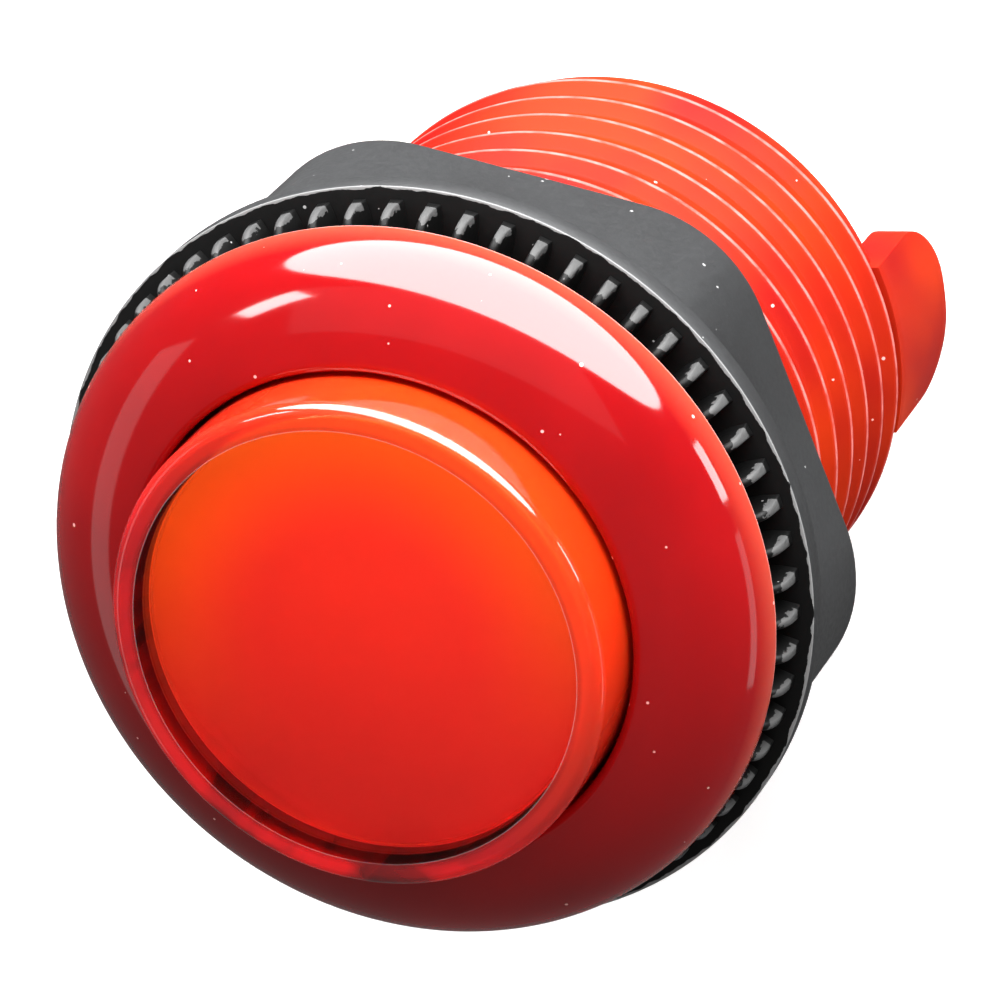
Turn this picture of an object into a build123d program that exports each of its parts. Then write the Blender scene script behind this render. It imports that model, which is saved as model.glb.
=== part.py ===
from build123d import *
import math
import os

# Screw-in arcade push button, translucent, lit from inside, with its nut run up under the bezel.
# Millimetres. +Z points out of the panel's front along the button's axis, the origin is on that axis in
# the plane of the bezel's underside, and the two rear ears lie on the X axis.

# Bezel
bezel_overhang = 2.75
bezel_height = 4.2
bezel_rim_height = 0.2
bezel_dome_inset = 0.35
bezel_underside_chamfer = 0.15
plunger_hole_diameter = 23.1
plunger_hole_round = 0.4

# Barrel, and the ridge of its right-handed thread
barrel_wall = 1.1
barrel_length = 28.4
guide_depth = 4.0
thread_depth = 0.6
thread_pitch = 2.35
thread_crest_width = 0.35
thread_root_width = 1.25
thread_start_depth = 1.6
thread_end_setback = 1.775
thread_seat_gap = 0.02

# Shelf inside the barrel that carries the return spring
shelf_depth = 13.4
shelf_thickness = 1.2
shelf_hole_margin = 0.4

# Rear ears of the barrel, with a pocket each inside for the lamp holder's catches
ear_length = 6.4
ear_width = 8.4
ear_corner_radius = 2.4
ear_root = 1.0
ear_pocket_width = 5.6
ear_pocket_height = 2.0
ear_pocket_setback = 3.0
ear_pocket_depth = 1.0

# Plunger: clear cap over a milky core
plunger_travel = 2.8
cap_clearance = 0.2
cap_top_height = 7.2
cap_top_thickness = 1.5
cap_wall = 1.1
cap_shoulder_chamfer = 0.45
cap_skirt_depth = 3.05
core_clearance = 0.1
core_wall = 1.0
core_top_thickness = 1.2
core_collar_thickness = 0.9
core_length_below_collar = 2.0
lug_reach = 0.5
lug_side_clearance = 0.25
lug_width = 5.0
lug_clearance = 0.1

# Return spring
spring_wire = 0.7
spring_turns = 4.5
spring_seat_gap = 0.05

# Panel nut
nut_height = 9.55
nut_wall = 2.15
nut_corner_radius = 7.0
nut_flange_reach = 3.7
nut_flange_thickness = 1.2
nut_turn = -15.0
nut_gap_under_bezel = 0.15
nut_thread_clearance = 0.15
nut_rear_chamfer = 0.4
tooth_count = 62
tooth_height = 1.95
tooth_length = 2.5
tooth_base_width = 0.8
tooth_tip_width = 0.4
tooth_setback = 0.6

# Lamp holder that closes the barrel's rear
holder_clearance = 0.1
holder_disc_thickness = 2.0
holder_rest_reach = 1.0
holder_rest_width = 12.0
tongue_width = 5.0
tongue_thickness = 1.0
tongue_length = 3.6
catch_reach = 0.9
tower_diameter = 7.8
tower_height = 12.0
socket_width = 6.2
socket_thickness = 2.5
socket_depth = 8.5

# Wedge lamp
wedge_width = 4.7
wedge_thickness = 2.2
wedge_length = 7.6
lamp_diameter = 5.0
lamp_length = 8.6
lamp_flange_diameter = 5.8
lamp_flange_thickness = 1.0
lead_diameter = 0.4

# Lamp contacts
lamp_contact_thickness = 0.3
lamp_contact_width = 2.0

# Terminal tabs, for the switch and for the lamp
tab_width = 2.8
tab_thickness = 0.5
tab_length = 7.0
tab_chamfer = 0.7
tab_clearance = 0.05

# Snap-action switch beside the lamp
switch_width = 12.8
switch_thickness = 5.8
switch_case_height = 3.0
switch_cover_height = 3.5
switch_wall = 0.7
switch_side_gap = 0.43
switch_pedestal_height = 2.5
switch_post_thickness = 0.8
switch_post_width = 2.0
switch_post_rise = 3.5
switch_clearance = 0.05
tab_pitch = 4.3

# Switch lever, its pin and the actuator under it
lever_pivot_inset = 0.9
lever_pivot_height = 0.85
lever_spare_drop = 0.05
lever_width = 3.2
lever_thickness = 0.3
lever_length = 11.4
lever_pin_diameter = 0.8
lever_pin_clearance = 0.03
lever_eye_wall = 0.3
lever_bearing_thickness = 0.7
lever_bearing_radius = 0.85
lever_bearing_root = 0.2
lever_gap = 0.12
lever_shelf_clearance = 0.3
foot_reach = 10.3
foot_width = 1.6
foot_flat = 0.1
actuator_diameter = 1.6
actuator_clearance = 0.1
actuator_reach = 3.1
actuator_collar_diameter = 2.4
actuator_collar_thickness = 0.4
actuator_gap = 0.1

# Contacts inside the switch
blade_thickness = 0.2
blade_width = 2.4
blade_spare_swing = 0.2
blade_tip_clearance = 0.25
blade_pivot_rise = 0.5
blade_gap = 0.03
rivet_diameter = 1.1
rivet_height = 0.8
contact_diameter = 1.1
contact_height = 0.25
contact_strip = 0.4
contact_post_width = 1.8
contact_gap = 0.05

# How far a cut runs past the face it starts from
cut_margin = 1.0

# Heights and radii that follow from the sizes above
guide_radius = plunger_hole_diameter / 2
bore_radius = guide_radius + lug_reach + lug_side_clearance
barrel_radius = bore_radius + barrel_wall
thread_radius = barrel_radius + thread_depth
bezel_radius = thread_radius + bezel_overhang
bezel_diameter = 2 * bezel_radius
bezel_dome_centre = guide_radius - bezel_dome_inset
nut_flange_radius = thread_radius + nut_flange_reach
nut_bore_radius = thread_radius + nut_thread_clearance
flange_front = -nut_gap_under_bezel - tooth_height
flange_rear = flange_front - nut_flange_thickness
cap_radius = guide_radius - cap_clearance
core_radius = cap_radius - cap_wall - core_clearance
collar_radius = cap_radius - core_clearance / 2
spring_radius = core_radius - core_wall / 2
shelf_hole_radius = spring_radius - spring_wire / 2 - shelf_hole_margin
core_top = cap_top_height - cap_top_thickness - core_clearance / 2
collar_top = -cap_skirt_depth
collar_bottom = collar_top - core_collar_thickness
core_bottom = collar_bottom - core_length_below_collar
lug_top = -guide_depth - lug_clearance
holder_top = -barrel_length
holder_bottom = holder_top - holder_disc_thickness
tab_end = holder_bottom - tab_length
tower_top = holder_top + tower_height
switch_bottom = holder_top + switch_pedestal_height + switch_clearance
case_top = switch_bottom + switch_case_height
cover_top = case_top + switch_cover_height
switch_y = switch_thickness / 2 - math.sqrt((bore_radius - switch_side_gap) ** 2 - (switch_width / 2) ** 2)
case_floor = switch_bottom + switch_wall
tab_top = case_floor + tab_thickness
cover_ceiling = cover_top - switch_wall
lever_pivot_x = -switch_width / 2 + lever_pivot_inset
lever_pivot_z = cover_top + lever_pivot_height
actuator_x = lever_pivot_x + actuator_reach
lever_angle = math.degrees(math.atan((plunger_travel + lever_spare_drop) / foot_reach))
actuator_travel = actuator_reach * math.tan(math.radians(lever_angle))
blade_pivot_x = tab_pitch
blade_reach = blade_pivot_x - actuator_x
blade_half_swing = math.degrees(math.atan(actuator_travel / blade_reach)) / 2 + blade_spare_swing
blade_pivot_z = case_top + blade_pivot_rise
blade_tip_x = -switch_width / 2 + switch_wall + contact_strip + blade_tip_clearance
rivet_x = blade_tip_x + rivet_diameter / 2
lamp_bottom = tower_top + core_clearance


def cylinder_between(radius, low, high, x=0.0, y=0.0):
    return Pos(x, y, low) * Cylinder(radius, high - low, align=(Align.CENTER, Align.CENTER, Align.MIN))


def block(x_low, x_high, y_low, y_high, z_low, z_high):
    size = (x_high - x_low, y_high - y_low, z_high - z_low)
    return Pos(x_low, y_low, z_low) * Box(*size, align=(Align.MIN, Align.MIN, Align.MIN))


def ring_between(outer, inner, low, high):
    return cylinder_between(outer, low, high) - cylinder_between(inner, low - cut_margin, high + cut_margin)


def rear_ears():
    # Two tongues of the barrel's wall that reach back past its end, with rounded corners and a blind pocket.
    reach = ear_length + ear_corner_radius
    outline = RectangleRounded(ear_width, reach, ear_corner_radius)
    outline = Pos(0, -barrel_length - ear_length + reach / 2) * outline
    ears = extrude(Plane.YZ * outline, bezel_radius, both=True)
    ears &= ring_between(thread_radius, bore_radius, -barrel_length - ear_length, -barrel_length + ear_root)
    pocket_z = -barrel_length - ear_pocket_setback - ear_pocket_height / 2
    pockets = Pos(0, 0, pocket_z) * Box(bezel_diameter, ear_pocket_width, ear_pocket_height)
    pockets &= cylinder_between(bore_radius + ear_pocket_depth, -barrel_length - ear_length, -barrel_length)
    return ears - pockets


def make_housing():
    # Bezel, barrel and ears are one moulding: a turned section with the ears added.
    rim_top = (bezel_radius, bezel_rim_height)
    dome_width = bezel_radius - bezel_dome_centre
    dome_height = bezel_height - bezel_rim_height
    edge_radius = guide_radius + plunger_hole_round
    edge_rise = math.sqrt(1 - ((edge_radius - bezel_dome_centre) / dome_width) ** 2)
    hole_edge = (edge_radius, bezel_rim_height + dome_height * edge_rise)
    dome_turn = math.degrees(math.acos((edge_radius - bezel_dome_centre) / dome_width))
    with BuildSketch(Plane.XZ) as section:
        with BuildLine():
            Line((guide_radius, -guide_depth), (guide_radius, hole_edge[1] - plunger_hole_round))
            RadiusArc((guide_radius, hole_edge[1] - plunger_hole_round), hole_edge, plunger_hole_round)
            dome_middle = (bezel_dome_centre, bezel_rim_height)
            EllipticalCenterArc(dome_middle, dome_width, dome_height, start_angle=0, arc_size=dome_turn)
            Polyline(
                rim_top,
                (bezel_radius, bezel_underside_chamfer),
                (bezel_radius - bezel_underside_chamfer, 0),
                (barrel_radius, 0),
                (barrel_radius, -barrel_length),
                (bore_radius, -barrel_length),
                (bore_radius, -shelf_depth - shelf_thickness),
                (shelf_hole_radius, -shelf_depth - shelf_thickness),
                (shelf_hole_radius, -shelf_depth),
                (bore_radius, -shelf_depth),
                (bore_radius, -guide_depth),
                (guide_radius, -guide_depth),
            )
        make_face()
    turned = revolve(section.sketch, Axis.Z) - lever_room()
    return turned + rear_ears()


def lever_room():
    # Space round the raised lever, which a shelf set lower than usual is relieved for.
    room_size = (lever_length, lever_width, lever_thickness)
    room = Box(*(size + 2 * lever_shelf_clearance for size in room_size))
    return swung_lever(Pos(lever_length / 2, 0, 0) * room)


def make_thread():
    # Narrow ridge with sloping flanks, wound round the barrel from near its end to near the bezel.
    seat_radius = barrel_radius + thread_seat_gap
    crest = thread_radius - seat_radius
    rear = -barrel_length + thread_end_setback
    path = Helix(thread_pitch, -thread_start_depth - rear, seat_radius, center=(0, 0, rear))
    half_root, half_crest = thread_root_width / 2, thread_crest_width / 2
    ridge = Polyline((0, -half_root), (crest, -half_crest), (crest, half_crest), (0, half_root), close=True)
    section = Plane(origin=path @ 0, x_dir=(1, 0, 0), z_dir=path % 0) * make_face(ridge)
    return sweep(section, path, is_frenet=True)


def make_nut():
    # Hexagon with well rounded corners behind a round flange.
    rear = -nut_gap_under_bezel - nut_height
    hexagon = RegularPolygon(thread_radius + nut_wall, 6, major_radius=False, rotation=nut_turn)
    hexagon = fillet(hexagon.vertices(), nut_corner_radius)
    body = Pos(0, 0, rear) * extrude(hexagon, flange_rear - rear)
    body = chamfer(body.faces().sort_by(Axis.Z)[0].edges(), nut_rear_chamfer)
    body += cylinder_between(nut_flange_radius, flange_rear, flange_front)
    return body - cylinder_between(nut_bore_radius, rear - cut_margin, flange_front + cut_margin)


def make_nut_crown():
    # Radial teeth that stand on the flange's front face and bite into the panel's rear face.
    outer_end = nut_flange_radius - tooth_setback
    inner_end = max(outer_end - tooth_length, nut_bore_radius)
    half_base = tooth_base_width / 2
    half_tip = tooth_tip_width / 2
    tip = flange_front + tooth_height
    section = Polyline(
        (-half_base, flange_front), (-half_tip, tip), (half_tip, tip), (half_base, flange_front), close=True
    )
    tooth = Pos(inner_end, 0, 0) * extrude(Plane.YZ * make_face(section), outer_end - inner_end)
    return Part() + PolarLocations(0, tooth_count) * tooth


def make_cap():
    # Clear cup that the finger presses: flat top, bevelled shoulder, plain skirt.
    cap = cylinder_between(cap_radius, -cap_skirt_depth, cap_top_height)
    cap = chamfer(cap.faces().sort_by(Axis.Z)[-1].edges(), cap_shoulder_chamfer)
    ceiling = cap_top_height - cap_top_thickness
    return cap - cylinder_between(cap_radius - cap_wall, -cap_skirt_depth - cut_margin, ceiling)


def make_core():
    # Milky inner plunger: the top spreads the lamp's light, the lugs stop it, the leg works the switch.
    core = cylinder_between(core_radius, core_bottom, core_top)
    core += cylinder_between(collar_radius, collar_bottom, collar_top)
    core -= cylinder_between(core_radius - core_wall, core_bottom - cut_margin, core_top - core_top_thickness)
    lugs = ring_between(guide_radius + lug_reach, core_radius - core_wall, core_bottom, lug_top)
    lugs &= Pos(0, 0, (core_bottom + lug_top) / 2) * Box(bezel_diameter, lug_width, lug_top - core_bottom)
    foot_x = lever_pivot_x + foot_reach
    lever_surface = lever_thickness / 2 / math.cos(math.radians(lever_angle))
    foot_end = lever_pivot_z + foot_reach * math.tan(math.radians(lever_angle)) + lever_surface + lever_gap
    foot_y = switch_y + lever_width / 2
    half = foot_width / 2
    leg_top = core_top - core_top_thickness / 2
    leg = block(foot_x - half, foot_x + half, foot_y - half, foot_y + half, foot_end, leg_top)
    leg = fillet(leg.faces().sort_by(Axis.Z)[0].edges().filter_by(Axis.Y), half - foot_flat / 2)
    return core + lugs + leg


def make_spring():
    # Compression coil between the shelf and the plunger's core, drawn at its length with the button up.
    bottom = -shelf_depth + spring_seat_gap + spring_wire / 2
    top = core_bottom - spring_seat_gap - spring_wire / 2
    height = top - bottom
    path = Helix(height / spring_turns, height, spring_radius, center=(0, 0, bottom))
    section = Plane(origin=path @ 0, x_dir=(1, 0, 0), z_dir=path % 0) * Rectangle(spring_wire, spring_wire)
    return sweep(section, path, is_frenet=True)


def tab_slots(clearance):
    # The openings that the three switch tabs pass through on their way to the rear.
    slots = Sketch() + [
        Pos(x, switch_y) * Rectangle(tab_width + 2 * clearance, tab_thickness + 2 * clearance)
        for x in (-tab_pitch, 0, tab_pitch)
    ]
    return Pos(0, 0, tab_end) * extrude(slots, cover_top - tab_end)


def lamp_contact_x():
    return wedge_width / 2 + lead_diameter


def make_holder():
    # Moulding that closes the barrel: disc, lamp tower, switch pedestal and two sprung tongues with catches.
    disc_radius = bore_radius - holder_clearance
    holder = cylinder_between(disc_radius, holder_bottom, holder_top)
    rests = ring_between(bore_radius + holder_rest_reach, disc_radius - cut_margin, holder_bottom, holder_top)
    rest_box = Box(holder_rest_width, bezel_diameter, 2 * holder_disc_thickness)
    holder += rests & Pos(0, 0, holder_bottom) * rest_box
    holder += cylinder_between(tower_diameter / 2, holder_bottom, tower_top)
    half_width = switch_width / 2
    y_low, y_high = switch_y - switch_thickness / 2, switch_y + switch_thickness / 2
    pedestal_top = holder_top + switch_pedestal_height
    holder -= switch_box(pedestal_top, tower_top + cut_margin, -switch_clearance)
    holder += block(-half_width, half_width, y_low, y_high, holder_bottom, pedestal_top)
    post_y_low, post_y_high = switch_y - switch_post_width / 2, switch_y + switch_post_width / 2
    post_inner = half_width + switch_clearance
    post_top = pedestal_top + switch_post_rise
    for side in (-1, 1):
        x_low, x_high = sorted((side * post_inner, side * (post_inner + switch_post_thickness)))
        holder += block(x_low, x_high, post_y_low, post_y_high, holder_bottom, post_top)
    tongue_inner = disc_radius - tongue_thickness
    tongue = ring_between(disc_radius, tongue_inner, holder_bottom - tongue_length, holder_top)
    catch_low = -barrel_length - ear_pocket_setback - ear_pocket_height + holder_clearance
    catch_high = -barrel_length - ear_pocket_setback - holder_clearance
    tongue += ring_between(disc_radius + catch_reach, tongue_inner, catch_low, catch_high)
    tongue_height = tongue_length + holder_disc_thickness
    tongue_box = Box(bezel_diameter, tongue_width, tongue_height)
    holder += tongue & Pos(0, 0, holder_top - tongue_height / 2) * tongue_box
    holder -= tab_slots(tab_clearance)
    socket_floor = tower_top - socket_depth
    half_socket, half_gap = socket_width / 2, socket_thickness / 2
    holder -= block(-half_socket, half_socket, -half_gap, half_gap, socket_floor, tower_top + cut_margin)
    strip_half = lamp_contact_width / 2 + tab_clearance
    strip_inner = lamp_contact_x() - tab_clearance
    strip_outer = lamp_contact_x() + lamp_contact_thickness + tab_clearance
    tab_outer = lamp_contact_x() + tab_thickness + tab_clearance
    for side in (-1, 1):
        x_low, x_high = sorted((side * strip_inner, side * strip_outer))
        holder -= block(x_low, x_high, -strip_half, strip_half, holder_top, socket_floor + cut_margin)
        x_low, x_high = sorted((side * strip_inner, side * tab_outer))
        tab_half = tab_width / 2 + tab_clearance
        holder -= block(x_low, x_high, -tab_half, tab_half, holder_bottom - cut_margin, holder_top)
    return holder


def make_lamp_contact(side):
    # Brass strip that grips one lead of the lamp in the socket and ends in a wider tab behind the holder.
    inner = lamp_contact_x()
    half = lamp_contact_width / 2
    x_low, x_high = sorted((side * inner, side * (inner + lamp_contact_thickness)))
    strip = block(x_low, x_high, -half, half, holder_top, tower_top - core_clearance)
    x_low, x_high = sorted((side * inner, side * (inner + tab_thickness)))
    tab = block(x_low, x_high, -tab_width / 2, tab_width / 2, tab_end, holder_top)
    tab = chamfer(tab.edges().filter_by(Axis.X).group_by(Axis.Z)[0], tab_chamfer)
    return strip + tab


def make_lamp_base():
    # Wedge that plugs into the socket, with a shoulder that the lamp's flange sits on.
    half_width, half_depth = wedge_width / 2, wedge_thickness / 2
    wedge = block(-half_width, half_width, -half_depth, half_depth, lamp_bottom - wedge_length, lamp_bottom)
    tip = wedge.faces().sort_by(Axis.Z)[0].edges().filter_by(Axis.X)
    return chamfer(tip, wedge_thickness / 4)


def make_lamp():
    # Light-emitting diode: flange, body and domed end in one clear moulding.
    radius = lamp_diameter / 2
    flange_radius = lamp_flange_diameter / 2
    flange_top = lamp_bottom + lamp_flange_thickness
    shoulder = lamp_bottom + lamp_length - radius
    with BuildSketch(Plane.XZ) as section:
        with BuildLine():
            Polyline(
                (0, lamp_bottom),
                (flange_radius, lamp_bottom),
                (flange_radius, flange_top),
                (radius, flange_top),
                (radius, shoulder),
            )
            RadiusArc((radius, shoulder), (0, shoulder + radius), -radius)
            Line((0, shoulder + radius), (0, lamp_bottom))
        make_face()
    return revolve(section.sketch, Axis.Z)


def make_lamp_lead(side):
    # Wire from the lamp's underside, laid down the wedge's side against the contact.
    x = side * (wedge_width / 2 + lead_diameter / 2)
    return cylinder_between(lead_diameter / 2, lamp_bottom - wedge_length + lead_diameter, lamp_bottom, x)


def switch_box(low, high, inset=0.0):
    half_width = switch_width / 2 - inset
    half_depth = switch_thickness / 2 - inset
    return block(-half_width, half_width, switch_y - half_depth, switch_y + half_depth, low, high)


def make_switch_case():
    # Lower half of the switch's box, open at the top, with a slot in its floor for each tab.
    case = switch_box(switch_bottom, case_top) - switch_box(case_floor, case_top + cut_margin, switch_wall)
    return case - tab_slots(tab_clearance)


def make_switch_cover():
    # Upper half of the box, with the actuator's hole and the two bearings of the lever's pin.
    cover = switch_box(case_top, cover_top) - switch_box(case_top - cut_margin, cover_ceiling, switch_wall)
    hole = actuator_diameter / 2 + actuator_clearance
    cover -= cylinder_between(hole, cover_ceiling - cut_margin, cover_top + cut_margin, actuator_x, switch_y)
    outline = Pos(lever_pivot_x, lever_pivot_z) * Circle(lever_bearing_radius)
    cheek_bottom = cover_top - lever_bearing_root
    cheek_stem = Rectangle(2 * lever_bearing_radius, lever_pivot_z - cheek_bottom)
    outline += Pos(lever_pivot_x, (lever_pivot_z + cheek_bottom) / 2) * cheek_stem
    outline -= Pos(lever_pivot_x, lever_pivot_z) * Circle(lever_pin_diameter / 2)
    for side in (-1, 1):
        inner = lever_width / 2 + switch_clearance
        y_low, y_high = sorted((side * inner, side * (inner + lever_bearing_thickness)))
        cheek = extrude(Plane.XZ * outline, y_low - y_high)
        cover += Pos(0, switch_y + y_low, 0) * cheek
    return cover


def make_lever_pin():
    half = lever_width / 2 + switch_clearance + lever_bearing_thickness
    pin = Cylinder(lever_pin_diameter / 2, 2 * half, rotation=(90, 0, 0))
    return Pos(lever_pivot_x, switch_y, lever_pivot_z) * pin


def swung_lever(piece):
    # Takes a piece drawn along +X from the lever's pin and lifts its free end to the resting angle.
    return Pos(lever_pivot_x, switch_y, lever_pivot_z) * Rot(0, -lever_angle, 0) * piece


def make_lever():
    # Sprung steel strip curled round its pin at one end: it stands up until the plunger's leg lowers it.
    eye_inner = lever_pin_diameter / 2 + lever_pin_clearance
    eye_outer = eye_inner + lever_eye_wall
    outline = Circle(eye_outer)
    outline += Pos(lever_length / 2, 0) * Rectangle(lever_length, lever_thickness)
    outline -= Circle(eye_inner)
    strip = extrude(Plane.XZ * outline, lever_width / 2, both=True)
    return swung_lever(strip)


def make_actuator():
    # Pin between the lever and the blade, kept in the box by its collar.
    lever_underside = lever_thickness / 2 / math.cos(math.radians(lever_angle))
    radius = actuator_diameter / 2
    edge_drop = radius * math.tan(math.radians(lever_angle))
    top = lever_pivot_z + actuator_travel - lever_underside - edge_drop - actuator_gap
    slope = math.tan(math.radians(blade_half_swing))
    blade_surface = blade_pivot_z + (blade_reach + radius) * slope + blade_thickness / 2
    bottom = blade_surface + actuator_gap
    collar_high = cover_ceiling - actuator_gap
    collar_low = collar_high - actuator_collar_thickness
    pin = cylinder_between(radius, bottom, top, actuator_x, switch_y)
    return pin + cylinder_between(actuator_collar_diameter / 2, collar_low, collar_high, actuator_x, switch_y)


def swung_blade(piece):
    # Takes a piece drawn along -X from the blade's pivot and lifts its free end to the resting angle.
    return Pos(blade_pivot_x, switch_y, blade_pivot_z) * Rot(0, blade_half_swing, 0) * piece


def make_blade():
    reach = blade_pivot_x - blade_tip_x
    heel = blade_width / 4
    strip = Pos((heel - reach) / 2, 0, 0) * Box(reach + heel, blade_width, blade_thickness)
    strip = fillet(strip.edges().filter_by(Axis.Z), blade_width / 4)
    hole = Cylinder(rivet_diameter / 4, cut_margin)
    return swung_blade(strip - Pos(rivet_x - blade_pivot_x, 0, 0) * hole)


def make_blade_rivet():
    head = (rivet_height - blade_thickness) / 2
    rivet = Cylinder(rivet_diameter / 4, rivet_height)
    for side in (-1, 1):
        rivet += Pos(0, 0, side * (blade_thickness + head) / 2) * Cylinder(rivet_diameter / 2, head)
    return swung_blade(Pos(rivet_x - blade_pivot_x, 0, 0) * rivet)


def terminal_tab(x):
    half_width, half_depth = tab_width / 2, tab_thickness / 2
    y_low, y_high = switch_y - half_depth, switch_y + half_depth
    tab = block(x - half_width, x + half_width, y_low, y_high, tab_end, tab_top)
    return chamfer(tab.edges().filter_by(Axis.Y).group_by(Axis.Z)[0], tab_chamfer)


def contact_block(x_low, x_high, z_low, z_high):
    half = contact_post_width / 2
    return block(x_low, x_high, switch_y - half, switch_y + half, z_low, z_high)


def rivet_heights():
    # Where the blade's rivet reaches at each end of its swing.
    swing = (blade_pivot_x - rivet_x) * math.sin(math.radians(blade_half_swing))
    half = rivet_height / 2 + rivet_diameter / 2 * math.sin(math.radians(blade_half_swing))
    return blade_pivot_z - swing - half, blade_pivot_z + swing + half


def make_common_terminal():
    # Tab at the blade's pivot end, with the post that the blade rocks on.
    half = contact_strip / 2
    post_top = blade_pivot_z - blade_thickness / 2 - blade_gap
    return terminal_tab(tab_pitch) + contact_block(tab_pitch - half, tab_pitch + half, case_floor, post_top)


def make_open_terminal():
    # Middle tab, whose arm carries the contact under the blade's free end.
    low, _ = rivet_heights()
    contact_top = low - contact_gap
    arm_top = contact_top - contact_height
    arm_low = arm_top - contact_strip
    end = rivet_x - contact_diameter / 2
    terminal = terminal_tab(0) + contact_block(-contact_strip / 2, contact_strip / 2, case_floor, arm_top)
    terminal += contact_block(end, contact_strip / 2, arm_low, arm_top)
    return terminal + cylinder_between(contact_diameter / 2, arm_top, contact_top, rivet_x, switch_y)


def make_closed_terminal():
    # End tab, whose post rises beside the blade's tip and hooks over it.
    _, high = rivet_heights()
    contact_low = high + contact_gap
    arm_low = contact_low + contact_height
    arm_high = arm_low + contact_strip
    left = -switch_width / 2 + switch_wall + switch_clearance
    terminal = terminal_tab(-tab_pitch) + contact_block(left, left + contact_strip, case_floor, arm_high)
    terminal += contact_block(left, -tab_pitch, case_floor, case_floor + contact_strip)
    terminal += contact_block(left, rivet_x + contact_diameter / 2, arm_low, arm_high)
    return terminal + cylinder_between(contact_diameter / 2, contact_low, arm_low, rivet_x, switch_y)


parts = {
    "housing": make_housing(),
    "barrel_thread": make_thread(),
    "panel_nut": make_nut(),
    "nut_crown": make_nut_crown(),
    "plunger_cap": make_cap(),
    "plunger_core": make_core(),
    "return_spring": make_spring(),
    "lamp_holder": make_holder(),
    "lamp_contact_left": make_lamp_contact(-1),
    "lamp_contact_right": make_lamp_contact(1),
    "lamp_wedge_base": make_lamp_base(),
    "lamp_led": make_lamp(),
    "lamp_lead_left": make_lamp_lead(-1),
    "lamp_lead_right": make_lamp_lead(1),
    "switch_case": make_switch_case(),
    "switch_cover": make_switch_cover(),
    "lever_pin": make_lever_pin(),
    "switch_lever": make_lever(),
    "switch_actuator": make_actuator(),
    "contact_blade": make_blade(),
    "blade_rivet": make_blade_rivet(),
    "common_terminal": make_common_terminal(),
    "open_terminal": make_open_terminal(),
    "closed_terminal": make_closed_terminal(),
}

os.makedirs("parts", exist_ok=True)
for name, shape in parts.items():
    export_step(shape, f"parts/{name}.step")
    print(name, "solids", len(shape.solids()), "volume", round(shape.volume, 2))
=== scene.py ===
import math

import bmesh
import bpy
from mathutils import Matrix, Vector


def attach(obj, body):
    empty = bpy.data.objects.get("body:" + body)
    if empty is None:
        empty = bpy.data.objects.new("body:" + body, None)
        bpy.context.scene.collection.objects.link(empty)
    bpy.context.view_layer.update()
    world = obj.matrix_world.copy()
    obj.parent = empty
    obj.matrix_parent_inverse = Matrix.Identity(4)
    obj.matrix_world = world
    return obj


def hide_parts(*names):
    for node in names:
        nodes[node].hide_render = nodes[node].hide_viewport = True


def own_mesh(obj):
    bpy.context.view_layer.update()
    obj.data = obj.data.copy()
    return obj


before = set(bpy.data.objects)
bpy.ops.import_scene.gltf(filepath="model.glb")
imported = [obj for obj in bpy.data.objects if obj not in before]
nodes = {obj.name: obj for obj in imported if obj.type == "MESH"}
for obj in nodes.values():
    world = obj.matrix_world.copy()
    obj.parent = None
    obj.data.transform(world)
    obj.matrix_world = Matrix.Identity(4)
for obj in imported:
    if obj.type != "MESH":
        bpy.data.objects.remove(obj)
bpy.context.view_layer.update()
mm = 0.001
print("frame loaded:", len(nodes), "nodes")


# Colour and node helpers

# A Mix node has sockets of one name for each kind of data, so its colour ones go by number
mixBy, mixA, mixB, mixed = 0, 6, 7, 2


def hexColour(code):
    # sRGB hex to the linear values that shaders take
    channels = [int(code[start:start + 2], 16) / 255 for start in (1, 3, 5)]
    linear = [level / 12.92 if level <= 0.04045 else ((level + 0.055) / 1.055) ** 2.4 for level in channels]
    return (*linear, 1.0)


def addNode(tree, kind, settings=None, links=None):
    # settings are the node's own properties or its input sockets, links are {input: (node, output)}
    node = tree.nodes.new(kind)
    for name, value in (settings or {}).items():
        if isinstance(name, str) and hasattr(node, name):
            setattr(node, name, value)
        else:
            node.inputs[name].default_value = value
    for name, (source, output) in (links or {}).items():
        tree.links.new(source.outputs[output], node.inputs[name])
    return node


def newMaterial(name):
    material = bpy.data.materials.new(name)
    material.use_nodes = True
    tree = material.node_tree
    tree.nodes.clear()
    return material, tree


def grainScale(sizeInMm):
    # Object coordinates are metres, so a pattern of this size repeats once each sizeInMm
    return 1.0 / (sizeInMm * mm)


# Mesh helpers

def newObject(name, data):
    obj = bpy.data.objects.new(name, data)
    bpy.context.scene.collection.objects.link(obj)
    return obj


def meshFromQuads(name, quads):
    # Corners are millimetre points: equal ones become one vertex, and flat faces are left out
    mesh = bpy.data.meshes.new(name)
    builder = bmesh.new()
    known = {}

    def vertexAt(point):
        key = tuple(round(part, 4) for part in point)
        if key not in known:
            known[key] = builder.verts.new([part * mm for part in key])
        return known[key]

    for quad in quads:
        corners = []
        for point in quad:
            vertex = vertexAt(point)
            if vertex not in corners:
                corners.append(vertex)
        if len(corners) > 2 and builder.faces.get(corners) is None:
            builder.faces.new(corners)
    bmesh.ops.recalc_face_normals(builder, faces=builder.faces)
    builder.to_mesh(mesh)
    builder.free()
    return mesh


def arcPoints(centre, radius, start, end, count):
    # An arc or, with two radii, a stretch of an ellipse, in degrees from the radial direction
    radii = radius if isinstance(radius, tuple) else (radius, radius)
    points = []
    for i in range(count + 1):
        angle = math.radians(start + (end - start) * i / count)
        points.append((centre[0] + radii[0] * math.cos(angle), centre[1] + radii[1] * math.sin(angle)))
    return points


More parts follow.
